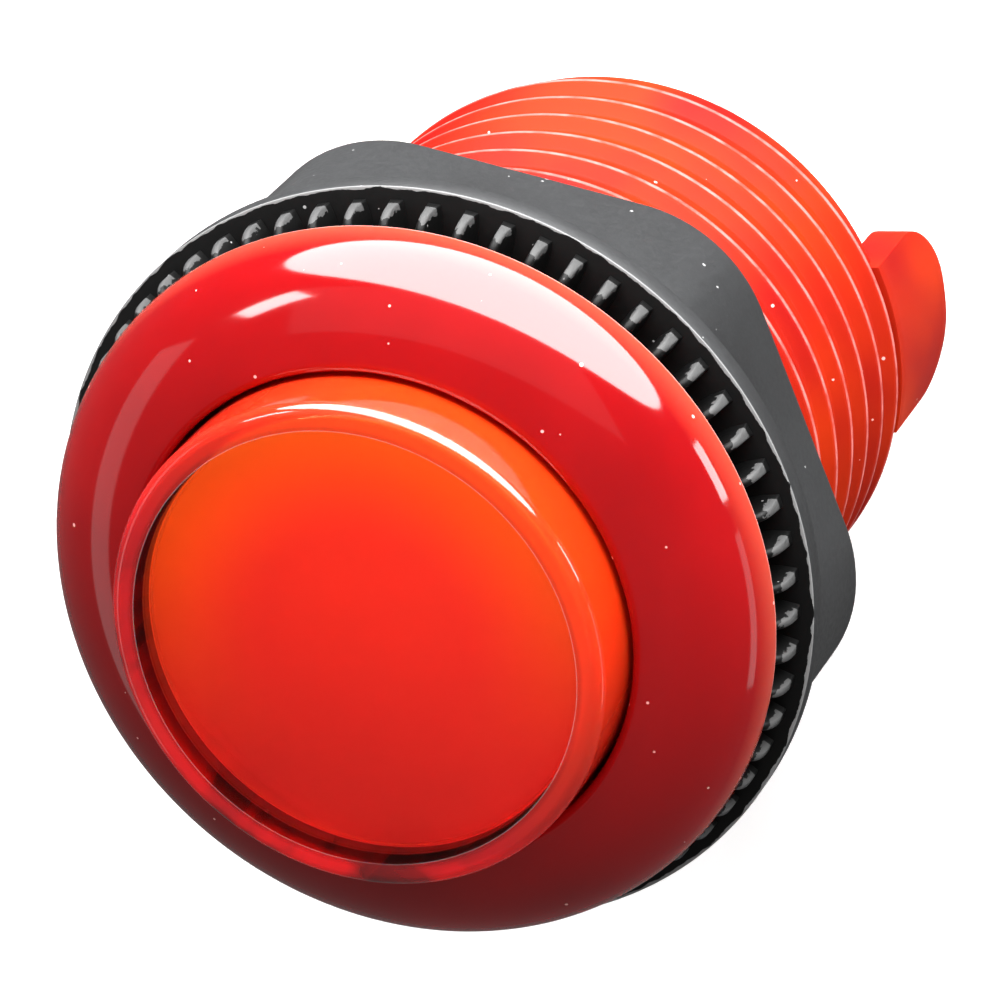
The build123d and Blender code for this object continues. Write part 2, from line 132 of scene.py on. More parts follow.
def turned(point, share):
    # A point of (radius, height), turned about Z by this share of a turn
    angle = 2 * math.pi * share
    return (point[0] * math.cos(angle), point[0] * math.sin(angle), point[1])


def latheQuads(outline, segments):
    # Turns an open outline of (radius, height) about Z
    quads = []
    for i in range(segments):
        near, far = i / segments, (i + 1) / segments
        for low, high in zip(outline, outline[1:]):
            quads.append((turned(low, near), turned(low, far), turned(high, far), turned(high, near)))
    return quads


def smoothByAngle(obj, degrees):
    # Smooth shading that keeps edges sharper than this angle
    mesh = obj.data
    mesh.shade_smooth()
    builder = bmesh.new()
    builder.from_mesh(mesh)
    limit = math.radians(degrees)
    for edge in builder.edges:
        edge.smooth = len(edge.link_faces) == 2 and edge.calc_face_angle(0.0) < limit
    builder.to_mesh(mesh)
    builder.free()


def settled(obj):
    # Puts the modifiers' result into the mesh and takes the modifiers away
    graph = bpy.context.evaluated_depsgraph_get()
    mesh = bpy.data.meshes.new_from_object(obj.evaluated_get(graph))
    obj.modifiers.clear()
    obj.data = mesh
    return obj


def setInput(modifier, name, value):
    # A modifier knows its tree's inputs by identifier, not by name
    for item in modifier.node_group.interface.items_tree:
        if item.item_type == "SOCKET" and item.in_out == "INPUT" and item.name == name:
            modifier[item.identifier] = value


def dress(obj, *materials, pick=None):
    # With several materials, pick gives each face's number from its middle's height in millimetres
    obj.data.materials.clear()
    for material in materials:
        obj.data.materials.append(material)
    if pick:
        for face in obj.data.polygons:
            face.material_index = pick(face.center.z / mm)


def finishPiece(obj, body, slot, *replaced):
    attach(obj, body)
    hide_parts(*replaced)
    return obj


# What several materials share

polycarbonateIor = 1.58
nylonIor = 1.53
# how far light of each colour wanders in red polycarbonate
redScatter = {"Subsurface Radius": (1.0, 0.14, 0.06), "Subsurface Scale": 2.2 * mm}


def addDust(tree, place, spacing, size):
    # Mask of dust: a speck of up to this size, in millimetres, in some of the cells this far apart
    emptyShare = 0.7
    cells = addNode(tree, "ShaderNodeTexVoronoi", {"Scale": grainScale(spacing)}, {"Vector": place})
    parts = addNode(tree, "ShaderNodeSeparateColor", {}, {"Color": (cells, "Color")})
    reach = addNode(
        tree, "ShaderNodeMapRange", {"From Min": emptyShare, "From Max": 1.0, "To Max": size / spacing / 2},
        {"Value": (parts, "Red")},
    )
    return addNode(
        tree, "ShaderNodeMath", {"operation": "LESS_THAN"},
        {0: (cells, "Distance"), 1: (reach, "Result")},
    )


def radiusOf(tree, place):
    # Distance from the button's axis
    flat = addNode(tree, "ShaderNodeMapping", {"Scale": (1.0, 1.0, 0.0)}, {"Vector": place})
    return addNode(tree, "ShaderNodeVectorMath", {"operation": "LENGTH"}, {0: (flat, "Vector")})


# Housing: bezel, threaded barrel and rear ears as one moulding, in millimetres and degrees

housing = {
    "bezelRadius": 16.75, "bezelHeight": 4.2, "rimHeight": 0.2, "domeCentre": 11.2, "domeSteps": 36,
    "undersideChamfer": 0.15, "neckFillet": 0.3, "holeRadius": 11.55, "holeRound": 0.4,
    "guideDepth": 4.0, "guideChamfer": 0.15,
    "threadRadius": 14.0, "threadDepth": 0.6, "threadPitch": 2.35, "threadTop": -1.0, "threadEnd": -27.8,
    "crestWidth": 0.35, "rootWidth": 1.25, "runOut": 0.9,
    "boreRadius": 12.3, "barrelEnd": -28.4, "edgeRound": 0.25,
    "shelfTop": -13.4, "shelfBottom": -14.6, "shelfRadius": 8.9,
    "earLength": 6.4, "earWidth": 8.4, "earCorner": 3.3, "earRise": 1.0, "earInset": 0.02,
    "earBevel": 0.5, "earBevelAngle": 50, "earColumns": 28, "earRows": 10,
    "segments": 240, "smoothAngle": 40, "bezelBottom": -0.01,
}
# gloss is the specular level, and scatter the share of light that wanders inside
bezelLook = {
    "deep": "#800408", "pale": "#8c060a", "roughness": (0.05, 0.1), "gloss": 0.5, "scatter": 0.25,
}
barrelLook = {
    "deep": "#8c120e", "pale": "#a8280a", "roughness": (0.34, 0.46), "gloss": 0.04, "scatter": 0.0,
}
# painted highlight along the thread's crests: radii where it starts and where it is full, and how broken it
# is
paintedCrestHighlight = {
    "startRadius": 13.978, "fullRadius": 13.996, "end": -27.3, "breaks": 0.9, "colour": "#c46c66",
}
# heights where each painted rim light starts and where it is full: an orange band that stands in for light
# through the thinning rim, and a pale painted highlight on its edge
paintedRimLights = [
    {"start": 1.7, "full": 0.3, "colour": "#a83626"},
    {"start": 0.24, "full": 0.16, "colour": "#d0847c"},
]


def addPaintedCrestHighlight(tree, place, body):
    # Painted highlight: the thread's crests are painted as pale, uneven lines, standing in for the light
    # that catches their sharp edges
    crest = addNode(
        tree, "ShaderNodeMapRange",
        {"From Min": paintedCrestHighlight["startRadius"] * mm, "From Max": paintedCrestHighlight["fullRadius"] * mm},
        {"Value": (radiusOf(tree, place), "Value")},
    )
    uneven = addNode(
        tree, "ShaderNodeTexNoise", {"Scale": grainScale(paintedCrestHighlight["breaks"]), "Detail": 3.0},
        {"Vector": place},
    )
    share = addNode(
        tree, "ShaderNodeMapRange", {"From Min": 0.32, "From Max": 0.62, "To Min": 0.25},
        {"Value": (uneven, "Fac")},
    )
    axes = addNode(tree, "ShaderNodeSeparateXYZ", {}, {"Vector": place})
    onThread = addNode(
        tree, "ShaderNodeMath", {"operation": "GREATER_THAN", 1: paintedCrestHighlight["end"] * mm}, {0: (axes, "Z")}
    )
    line = addNode(
        tree, "ShaderNodeMath", {"operation": "MULTIPLY"}, {0: (crest, "Result"), 1: (onThread, "Value")}
    )
    broken = addNode(
        tree, "ShaderNodeMath", {"operation": "MULTIPLY"}, {0: (line, "Value"), 1: (share, "Result")}
    )
    return addNode(
        tree, "ShaderNodeMix", {"data_type": "RGBA", mixB: hexColour(paintedCrestHighlight["colour"])},
        {mixBy: (broken, "Value"), mixA: (body, mixed)},
    )


def addPaintedRimLight(tree, place, body):
    # Painted light: the bezel thins towards its rim, and the rim is painted more orange for the light that
    # comes through there, with its edge painted pale as a painted highlight
    axes = addNode(tree, "ShaderNodeSeparateXYZ", {}, {"Vector": place})
    for rimLight in paintedRimLights:
        band = addNode(
            tree, "ShaderNodeMapRange", {"From Min": rimLight["start"] * mm, "From Max": rimLight["full"] * mm},
            {"Value": (axes, "Z")},
        )
        body = addNode(
            tree, "ShaderNodeMix", {"data_type": "RGBA", mixB: hexColour(rimLight["colour"])},
            {mixBy: (band, "Result"), mixA: (body, mixed)},
        )
    return body


def makeRedPolycarbonate(name, look, addPaintedLight):
    # Injection-moulded polycarbonate with red dye, which light wanders through. The bezel's half of the
    # tool is polished and the barrel's is not, and the barrel's thin wall lets more light out, so it
    # looks more orange, in clouds where the melt flowed
    material, tree = newMaterial(name)
    place = (addNode(tree, "ShaderNodeTexCoord"), "Object")
    flow = addNode(tree, "ShaderNodeTexNoise", {"Scale": grainScale(9.0), "Detail": 2.0}, {"Vector": place})
    share = addNode(
        tree, "ShaderNodeMapRange", {"From Min": 0.36, "From Max": 0.64}, {"Value": (flow, "Fac")}
    )
    body = addNode(
        tree, "ShaderNodeMix",
        {"data_type": "RGBA", mixA: hexColour(look["deep"]), mixB: hexColour(look["pale"])},
        {mixBy: (share, "Result")},
    )
    # painted light: the barrel's painted crest highlights or the bezel's painted rim light
    body = addPaintedLight(tree, place, body)
    dust = addDust(tree, place, 0.8, 0.2)
    dusted = addNode(
        tree, "ShaderNodeMix", {"data_type": "RGBA", mixB: hexColour("#e8a49c")},
        {mixBy: (dust, "Value"), mixA: (body, mixed)},
    )
    low, high = look["roughness"]
    shine = addNode(tree, "ShaderNodeMapRange", {"To Min": low, "To Max": high}, {"Value": (flow, "Fac")})
    skin = addNode(
        tree, "ShaderNodeBsdfPrincipled",
        {
            "IOR": polycarbonateIor, "Specular IOR Level": look["gloss"],
            "Subsurface Weight": look["scatter"], **redScatter,
        },
        {"Base Color": (dusted, mixed), "Roughness": (shine, "Result")},
    )
    addNode(tree, "ShaderNodeOutputMaterial", {}, {"Surface": (skin, "BSDF")})
    return material


def threadRows():
    # The ridge's outline with small rounds at its corners: heights as a share of one pitch, and depths
    half, crest = housing["rootWidth"] / 2, housing["crestWidth"] / 2
    steps = [
        (-half - 0.16, 0.0), (-half - 0.05, 0.02), (-half + 0.06, 0.1),
        (-crest - 0.1, 0.85), (-crest, 0.96), (-crest * 0.4, 1.0),
    ]
    mirrored = [(-offset, depth) for offset, depth in reversed(steps)]
    return [(0.5 + offset / housing["threadPitch"], depth) for offset, depth in steps + mirrored]


def threadQuads():
    # Rows of faces that climb with the thread, so that every edge of the ridge follows the helix
    rows = threadRows()
    pitch, top, end = housing["threadPitch"], housing["threadTop"], housing["threadEnd"]
    root = housing["threadRadius"] - housing["threadDepth"]
    turns = math.ceil((top - end) / pitch)

    def pointAt(row, share):
        turn, step = divmod(row, len(rows))
        rise, depth = rows[step]
        height = end + pitch * (turn + rise + share)
        inside = min(max(height, end), top)
        fade = min(1.0, (inside - end) / housing["runOut"], (top - inside) / housing["runOut"])
        return turned((root + housing["threadDepth"] * depth * fade, inside), share)

    quads = []
    segments = housing["segments"]
    for i in range(segments):
        near, far = i / segments, (i + 1) / segments
        for row in range(-2 * len(rows), (turns + 1) * len(rows)):
            corners = ((row, near), (row, far), (row + 1, far), (row + 1, near))
            quads.append([pointAt(*corner) for corner in corners])
    return quads


def housingOutline():
    # From under the bezel, over its dome, down the bore and round the barrel's end, without the thread
    root = housing["threadRadius"] - housing["threadDepth"]
    rim, chamfer, neck = housing["bezelRadius"], housing["undersideChamfer"], housing["neckFillet"]
    hole, guideEnd, guideChamfer = housing["holeRadius"], -housing["guideDepth"], housing["guideChamfer"]
    bore, end, endRound = housing["boreRadius"], housing["barrelEnd"], housing["edgeRound"]
    shelf, shelfTop, shelfBottom = housing["shelfRadius"], housing["shelfTop"], housing["shelfBottom"]
    domeCentre = (housing["domeCentre"], housing["rimHeight"])
    domeSize = (rim - domeCentre[0], housing["bezelHeight"] - domeCentre[1])
    holeEdge = hole + housing["holeRound"]
    domeTurn = math.degrees(math.acos((holeEdge - domeCentre[0]) / domeSize[0]))
    dome = arcPoints(domeCentre, domeSize, 0, domeTurn, housing["domeSteps"])
    holeCentre = (holeEdge, dome[-1][1] - housing["holeRound"])
    outline = [(root, housing["threadTop"]), (root, -neck), (root + neck, 0.0)]
    outline += [(rim - chamfer, 0.0), (rim, chamfer)]
    outline += dome + arcPoints(holeCentre, housing["holeRound"], 90, 180, 8)
    outline += [(hole, 0.0), (hole, guideEnd + guideChamfer), (hole + guideChamfer, guideEnd)]
    outline += [(bore, guideEnd), (bore, shelfTop), (shelf, shelfTop)]
    outline += [(shelf, shelfBottom), (bore, shelfBottom), (bore, end + endRound)]
    outline += arcPoints((bore + endRound, end + endRound), endRound, 180, 270, 4)
    outline += arcPoints((root - endRound, end + endRound), endRound, 270, 360, 4)
    outline += [(root, housing["threadEnd"])]
    return outline


def earQuads(side):
    # A tongue of the barrel's wall: columns across its width, each ending on the rounded outline. Its inner
    # face is just inside the wall, so that the two join cleanly
    radii = {"outer": housing["threadRadius"], "inner": housing["boreRadius"] + housing["earInset"]}
    top, bottom = housing["barrelEnd"] + housing["earRise"], housing["barrelEnd"] - housing["earLength"]
    half, corner = housing["earWidth"] / 2, housing["earCorner"]
    columns, rows = housing["earColumns"], housing["earRows"]
    grid = {}
    for column in range(columns + 1):
        across = -half * math.cos(math.pi * column / columns)
        past = max(0.0, abs(across) - (half - corner))
        low = bottom + corner - math.sqrt(max(0.0, corner ** 2 - past ** 2))
        heights = [top + (low - top) * row / rows for row in range(rows + 1)]
        for face, radius in radii.items():
            along = side * math.sqrt(radius ** 2 - across ** 2)
            grid[face, column] = [(along, across, height) for height in heights]
    quads = []
    for column in range(columns):
        for row in range(rows):
            for face in radii:
                near, far = grid[face, column], grid[face, column + 1]
                quads.append((near[row], far[row], far[row + 1], near[row + 1]))
        for row in (0, rows):
            outerPair = (grid["outer", column][row], grid["outer", column + 1][row])
            innerPair = (grid["inner", column + 1][row], grid["inner", column][row])
            quads.append(outerPair + innerPair)
    for row in range(rows):
        for column in (0, columns):
            outer, inner = grid["outer", column], grid["inner", column]
            quads.append((outer[row], outer[row + 1], inner[row + 1], inner[row]))
    return quads


def makeHousing():
    bezelRed = makeRedPolycarbonate("polishedRedPolycarbonate", bezelLook, addPaintedRimLight)
    barrelRed = makeRedPolycarbonate("mouldedRedPolycarbonate", barrelLook, addPaintedCrestHighlight)
    quads = latheQuads(housingOutline(), housing["segments"]) + threadQuads()
    obj = newObject("housingMoulding", meshFromQuads("housingMoulding", quads))
    for side in (-1, 1):
        ear = newObject("ear", meshFromQuads("ear", earQuads(side)))
        bevel = ear.modifiers.new("edges", "BEVEL")
        bevel.width = housing["earBevel"] * mm
        bevel.segments = 3
        bevel.angle_limit = math.radians(housing["earBevelAngle"])
        settled(ear)
        join = obj.modifiers.new("ear", "BOOLEAN")
        join.operation = "UNION"
        join.solver = "EXACT"
        join.object = ear
        settled(obj)
        bpy.data.objects.remove(ear)
    smoothByAngle(obj, housing["smoothAngle"])
    dress(obj, bezelRed, barrelRed, pick=lambda height: int(height < housing["bezelBottom"]))
    return finishPiece(obj, "housing", "red_translucent", "housing", "barrel_thread")


housingPiece = makeHousing()
print("housing made:", len(housingPiece.data.polygons), "faces")


# Plunger cap: clear cup with a rounded shoulder, in millimetres

cap = {
    "radius": 11.35, "topHeight": 7.2, "topThickness": 1.5, "wall": 1.1, "skirtDepth": 3.05, "topRing": 5.0,
    "shoulderRound": 0.55, "innerRound": 0.35, "edgeRound": 0.12, "segments": 200, "smoothAngle": 40,
}
# the wall and its painted gap shade are placed by radius, and the wall's painted lit and shaded colours and
# its painted dark reflections by how far they are from the axis along the direction towards the shaded side
capLook = {
    "wallStart": 10.18, "wallFull": 10.24, "gapShadeEnd": 10.5, "gapShadeFull": 10.34, "gapShadeShare": 0.4,
    "towardsShadedSide": (-0.7, -0.7, 0.0), "paintedShadeAt": 3.0, "litAt": -9.5, "noDarkReflectionsAt": 2.0, "darkReflectionsAt": 8.0,
    "deep": "#cc1e24", "lit": "#f43c10", "gapShade": "#700a0c", "darkReflections": "#5c0a0c", "darkReflectionSize": 3.2,
    "topCover": 0.3, "wallCover": 0.64, "darkReflectionCover": 0.25, "scatter": 0.3, "roughness": (0.02, 0.06),
    "dye": "#feb250", "dyeDensity": 780.0,
}


def makeClearRed():
    # Clear polycarbonate, polished, with a red dye: short paths through it look orange, long ones deep red.
    # Seen end on, the wall outside the disc is too deep to see through, so it looks red: painted orange on
    # its lit +X+Y side and deep red on its shaded side, with painted dark reflections on the shaded side
    # and a line of painted shade where it meets the disc
    look = capLook
    material, tree = newMaterial("clearRedPolycarbonate")
    place = (addNode(tree, "ShaderNodeTexCoord"), "Object")
    reach = radiusOf(tree, place)
    wall = addNode(
        tree, "ShaderNodeMapRange", {"From Min": look["wallStart"] * mm, "From Max": look["wallFull"] * mm},
        {"Value": (reach, "Value")},
    )
    shadedSideReach = addNode(
        tree, "ShaderNodeVectorMath", {"operation": "DOT_PRODUCT", 1: look["towardsShadedSide"]}, {0: place}
    )
    # painted light: the wall is painted orange on its lit +X+Y side and deep red on its shaded side
    lit = addNode(
        tree, "ShaderNodeMapRange", {"From Min": look["paintedShadeAt"] * mm, "From Max": look["litAt"] * mm},
        {"Value": (shadedSideReach, "Value")},
    )
    wallColour = addNode(
        tree, "ShaderNodeMix",
        {"data_type": "RGBA", mixA: hexColour(look["deep"]), mixB: hexColour(look["lit"])},
        {mixBy: (lit, "Result")},
    )
    # painted shade: a dark line on the wall next to the disc, standing in for the shade in the gap between
    # them
    gapShade = addNode(
        tree, "ShaderNodeMapRange",
        {
            "From Min": look["gapShadeEnd"] * mm, "From Max": look["gapShadeFull"] * mm,
            "To Max": look["gapShadeShare"],
        },
        {"Value": (reach, "Value")},
    )
    gapShaded = addNode(
        tree, "ShaderNodeMix", {"data_type": "RGBA", mixB: hexColour(look["gapShade"])},
        {mixBy: (gapShade, "Result"), mixA: (wallColour, mixed)},
    )
    plain = addNode(
        tree, "ShaderNodeMix", {"data_type": "RGBA", mixA: hexColour("#ffffff")},
        {mixBy: (wall, "Result"), mixB: (gapShaded, mixed)},
    )
    # painted reflection: dark patches on the wall's shaded side stand in for dark things seen in the glass,
    # and make the wall less see-through there
    upright = addNode(tree, "ShaderNodeMapping", {"Scale": (1.0, 1.0, 0.15)}, {"Vector": place})
    reflectionNoise = addNode(
        tree, "ShaderNodeTexNoise", {"Scale": grainScale(look["darkReflectionSize"]), "Detail": 2.0},
        {"Vector": (upright, "Vector")},
    )
    patch = addNode(
        tree, "ShaderNodeMapRange", {"From Min": 0.5, "From Max": 0.6}, {"Value": (reflectionNoise, "Fac")}
    )
    side = addNode(
        tree, "ShaderNodeMapRange", {"From Min": look["noDarkReflectionsAt"] * mm, "From Max": look["darkReflectionsAt"] * mm},
        {"Value": (shadedSideReach, "Value")},
    )
    darkReflections = addNode(
        tree, "ShaderNodeMath", {"operation": "MULTIPLY"}, {0: (patch, "Result"), 1: (side, "Result")}
    )
    dark = addNode(
        tree, "ShaderNodeMath", {"operation": "MULTIPLY"}, {0: (darkReflections, "Value"), 1: (wall, "Result")}
    )
    body = addNode(
        tree, "ShaderNodeMix", {"data_type": "RGBA", mixB: hexColour(look["darkReflections"])},
        {mixBy: (dark, "Value"), mixA: (plain, mixed)},
    )
    seeThrough = addNode(
        tree, "ShaderNodeMapRange", {"To Min": 1.0, "To Max": 0.0}, {"Value": (wall, "Result")}
    )
    wallCover = addNode(
        tree, "ShaderNodeMapRange", {"To Min": look["topCover"], "To Max": look["wallCover"]},
        {"Value": (wall, "Result")},
    )
    cover = addNode(
        tree, "ShaderNodeMath", {"operation": "MULTIPLY_ADD", 1: look["darkReflectionCover"]},
        {0: (dark, "Value"), 2: (wallCover, "Result")},
    )
    flow = addNode(tree, "ShaderNodeTexNoise", {"Scale": grainScale(6.0), "Detail": 2.0}, {"Vector": place})
    low, high = look["roughness"]
    shine = addNode(tree, "ShaderNodeMapRange", {"To Min": low, "To Max": high}, {"Value": (flow, "Fac")})
    skin = addNode(
        tree, "ShaderNodeBsdfPrincipled",
        {
            "IOR": polycarbonateIor, "Specular IOR Level": 1.0,
            "Subsurface Weight": look["scatter"], **redScatter,
        },
        {
            "Base Color": (body, mixed), "Roughness": (shine, "Result"), "Alpha": (cover, "Value"),
            "Transmission Weight": (seeThrough, "Result"),
        },
    )
    dye = addNode(
        tree, "ShaderNodeVolumeAbsorption", {"Color": hexColour(look["dye"]), "Density": look["dyeDensity"]}
    )
    addNode(tree, "ShaderNodeOutputMaterial", {}, {"Surface": (skin, "BSDF"), "Volume": (dye, "Volume")})
    return material


def makeCap():
    radius, top, bottom = cap["radius"], cap["topHeight"], -cap["skirtDepth"]
    inner, ceiling, ring = radius - cap["wall"], top - cap["topThickness"], cap["topRing"]
    shoulder, corner, edge = cap["shoulderRound"], cap["innerRound"], cap["edgeRound"]
    outline = [(0.0, top), (ring, top), (inner, top)]
    outline += arcPoints((radius - shoulder, top - shoulder), shoulder, 90, 0, 10)
    outline += arcPoints((radius - edge, bottom + edge), edge, 0, -90, 4)
    outline += arcPoints((inner + edge, bottom + edge), edge, 270, 180, 4)
    outline += arcPoints((inner - corner, ceiling - corner), corner, 0, 90, 6)
    outline += [(ring, ceiling), (0.0, ceiling)]
    quads = latheQuads(outline, cap["segments"])
    obj = newObject("plungerCap", meshFromQuads("plungerCap", quads))
    smoothByAngle(obj, cap["smoothAngle"])
    dress(obj, makeClearRed())
    return finishPiece(obj, "plunger", "red_clear", "plunger_cap")


capPiece = makeCap()
print("plunger cap made:", len(capPiece.data.polygons), "faces")


# Panel nut: rounded hexagon, flange and a crown of teeth from geometry nodes, in millimetres and degrees

nut = {
    "boreRadius": 14.15, "boreChamfer": 0.5, "acrossFlats": 32.3, "cornerRadius": 7.0, "turn": -15.0,
    "rear": -9.7, "rearChamfer": 0.4, "fillet": 0.25, "flangeStep": 0.1,
    "flangeRadius": 17.7, "flangeRear": -3.3, "flangeFront": -2.1, "edgeRound": 0.08, "frontDepth": 0.15,
    "teeth": 62, "toothTip": -0.15, "toothLength": 2.5, "toothSetback": 0.6, "toothBase": 0.8,
    "toothWidth": 0.5, "toothRound": 0.3, "toothSlope": 0.75, "toothFall": 1.2, "toothNarrowing": 0.25,
    "toothSink": 0.1, "segments": 240, "smoothAngle": 35,
}
nutSideLook = {"dark": "#1f1f20", "light": "#2a2b2c", "gloss": 0.5, "paleMarksAndGlints": []}
# the flange's front and the teeth are painted near-black as painted shade under the bezel; each pale mark
# or painted highlight is outside this radius and in front of this height, with an edge as ragged as this
nutPaintedShadeLook = {
    "dark": "#040404", "light": "#080808", "gloss": 0.15,
    "paleMarksAndGlints": [
        # a pale, ragged line round the flange's front edge
        {"size": 0.9, "ragged": 0.4, "radius": 17.8, "height": -2.3, "colour": "#747474"},
        # painted highlights on the teeth's outer ends
        {"size": 0.35, "ragged": 0.7, "radius": 17.18, "height": -1.7, "colour": "#444444"},
    ],
}


def addPaleMarksAndGlints(tree, place, body, paleMarksAndGlints):
    # Pale marks on the nut's front: a ragged pale line round the flange's front edge, and painted
    # highlights on the teeth's outer ends
    reach = radiusOf(tree, place)
    axes = addNode(tree, "ShaderNodeSeparateXYZ", {}, {"Vector": place})
    for paleMark in paleMarksAndGlints:
        rag = addNode(
            tree, "ShaderNodeTexNoise", {"Scale": grainScale(paleMark["size"]), "Detail": 3.0},
            {"Vector": place},
        )
        edge = addNode(
            tree, "ShaderNodeMath", {"operation": "MULTIPLY_ADD", 1: paleMark["ragged"] * mm},
            {0: (rag, "Fac"), 2: (reach, "Value")},
        )
        outside = addNode(
            tree, "ShaderNodeMath", {"operation": "GREATER_THAN", 1: paleMark["radius"] * mm},
            {0: (edge, "Value")},
        )
        front = addNode(
            tree, "ShaderNodeMath", {"operation": "GREATER_THAN", 1: paleMark["height"] * mm}, {0: (axes, "Z")}
        )
        mark = addNode(
            tree, "ShaderNodeMath", {"operation": "MULTIPLY"}, {0: (outside, "Value"), 1: (front, "Value")}
        )
        body = addNode(
            tree, "ShaderNodeMix", {"data_type": "RGBA", mixB: hexColour(paleMark["colour"])},
            {mixBy: (mark, "Value"), mixA: (body, mixed)},
        )
    return body


def makeBlackNylon(name, look):
    # Black nylon, moulded in a spark-eroded tool: matt, with a fine grain, a few dull flow clouds and dust
    material, tree = newMaterial(name)
    place = (addNode(tree, "ShaderNodeTexCoord"), "Object")
    grain = addNode(
        tree, "ShaderNodeTexNoise", {"Scale": grainScale(0.25), "Detail": 3.0}, {"Vector": place}
    )
    cloud = addNode(
        tree, "ShaderNodeTexNoise", {"Scale": grainScale(5.0), "Detail": 2.0}, {"Vector": place}
    )
    colour = addNode(
        tree, "ShaderNodeMix",
        {"data_type": "RGBA", mixA: hexColour(look["dark"]), mixB: hexColour(look["light"])},
        {mixBy: (cloud, "Fac")},
    )
    dust = addDust(tree, place, 0.7, 0.17)
    body = addNode(
        tree, "ShaderNodeMix", {"data_type": "RGBA", mixB: hexColour("#8c8c8c")},
        {mixBy: (dust, "Value"), mixA: (colour, mixed)},
    )
    if look["paleMarksAndGlints"]:
        body = addPaleMarksAndGlints(tree, place, body, look["paleMarksAndGlints"])
    shine = addNode(
        tree, "ShaderNodeMapRange", {"To Min": 0.42, "To Max": 0.62}, {"Value": (grain, "Fac")}
    )
    bump = addNode(
        tree, "ShaderNodeBump", {"Strength": 0.25, "Distance": 0.02 * mm}, {"Height": (grain, "Fac")}
    )
    skin = addNode(
        tree, "ShaderNodeBsdfPrincipled", {"IOR": nylonIor, "Specular IOR Level": look["gloss"]},
        {"Base Color": (body, mixed), "Roughness": (shine, "Result"), "Normal": (bump, "Normal")},
    )
    addNode(tree, "ShaderNodeOutputMaterial", {}, {"Surface": (skin, "BSDF")})
    return material


def hexagonRadius(angle, inset):
    # Distance from the axis to the rounded hexagon's side at this angle
    apothem, corner = nut["acrossFlats"] / 2 - inset, nut["cornerRadius"] - inset
    half = math.pi / 6  # from a corner to the middle of a flat
    fromCorner = (angle - math.radians(nut["turn"]) + half) % (2 * half) - half
    centre = (apothem - corner) / math.cos(half)
    flatStart = math.atan2(corner * math.sin(half), centre + corner * math.cos(half))
    if abs(fromCorner) > flatStart:
        return apothem / math.cos(half - abs(fromCorner))
    across = centre * math.sin(fromCorner)
    return centre * math.cos(fromCorner) + math.sqrt(max(0.0, corner ** 2 - across ** 2))


def nutQuads():
    # One outline for each angle, whose steps are offsets from the bore, the hexagon or the flange's edge.
    # The steps at a share of a chamfer, a fillet or an edge make it round
    rear, flangeRear, flangeFront = nut["rear"], nut["flangeRear"], nut["flangeFront"]
    chamfer, fillet, edge = nut["rearChamfer"], nut["fillet"], nut["edgeRound"]
    steps = [
        ("bore", 0.0, rear + nut["boreChamfer"]),
        ("bore", nut["boreChamfer"], rear),
        ("hexagon", chamfer, rear),
        ("hexagon", chamfer * 0.25, rear + chamfer * 0.75),
        ("hexagon", 0.0, rear + chamfer * 1.5),
        ("hexagon", 0.0, flangeRear - fillet),
        ("hexagon", -fillet * 0.32, flangeRear - fillet * 0.32),
        ("hexagon", -fillet, flangeRear),
        ("flange", -edge, flangeRear),
        ("flange", -edge * 0.3, flangeRear + edge * 0.3),
        ("flange", 0.0, flangeRear + edge),
        ("flange", 0.0, flangeFront - edge),
        ("flange", -edge * 0.3, flangeFront - edge * 0.3),
        ("flange", -edge, flangeFront),
        ("bore", 0.0, flangeFront),
    ]
    widest = nut["flangeRadius"] - nut["flangeStep"]
    rings = []
    for i in range(nut["segments"]):
        angle = 2 * math.pi * i / nut["segments"]
        ring = []
        for kind, offset, height in steps:
            if kind == "bore":
                radius = nut["boreRadius"] + offset
            elif kind == "flange":
                radius = nut["flangeRadius"] + offset
            else:
                radius = min(hexagonRadius(angle, max(offset, 0.0)) - min(offset, 0.0), widest)
            ring.append((radius * math.cos(angle), radius * math.sin(angle), height))
        rings.append(ring)
    quads = []
    for ring, following in zip(rings, rings[1:] + rings[:1]):
        for step in range(len(steps)):
            after = (step + 1) % len(steps)
            quads.append((ring[step], following[step], following[after], ring[after]))
    return quads


def toothMesh():
    # One tooth along +X from the axis: a tapered bar with a round back and a round outer end, sunk into the
    # flange
    outer = nut["flangeRadius"] - nut["toothSetback"]
    inner = max(outer - nut["toothLength"], nut["boreRadius"])
    base, crown = nut["toothBase"] / 2, nut["toothRound"]
    low, high = nut["flangeFront"] - nut["toothSink"], nut["toothTip"]
    ridge = arcPoints((0.0, high - crown), (nut["toothWidth"] / 2, crown), 180, 0, 8)
    section = [(-base, low)] + ridge + [(base, low)]
    ends = [[(inner, across, height) for across, height in section]]
    for forward, rise in arcPoints((0.0, 0.0), 1.0, 90, 0, 6):
        # from the bar's top, over the round end, down to the flange
        along = outer - nut["toothSlope"] * (1.0 - forward)
        fall = (1.0 - rise) * nut["toothFall"]
        width = 1.0 - nut["toothNarrowing"] * forward
        ends.append([
            (along, across * width, height - (fall if height > low else 0.0)) for across, height in section
        ])
    quads = []
    for near, far in zip(ends, ends[1:]):
        for corner in range(len(section)):
            after = (corner + 1) % len(section)
            quads.append((near[corner], far[corner], far[after], near[after]))
    quads.append(tuple(ends[0]))
    quads.append(tuple(reversed(ends[-1])))
    return meshFromQuads("tooth", quads)


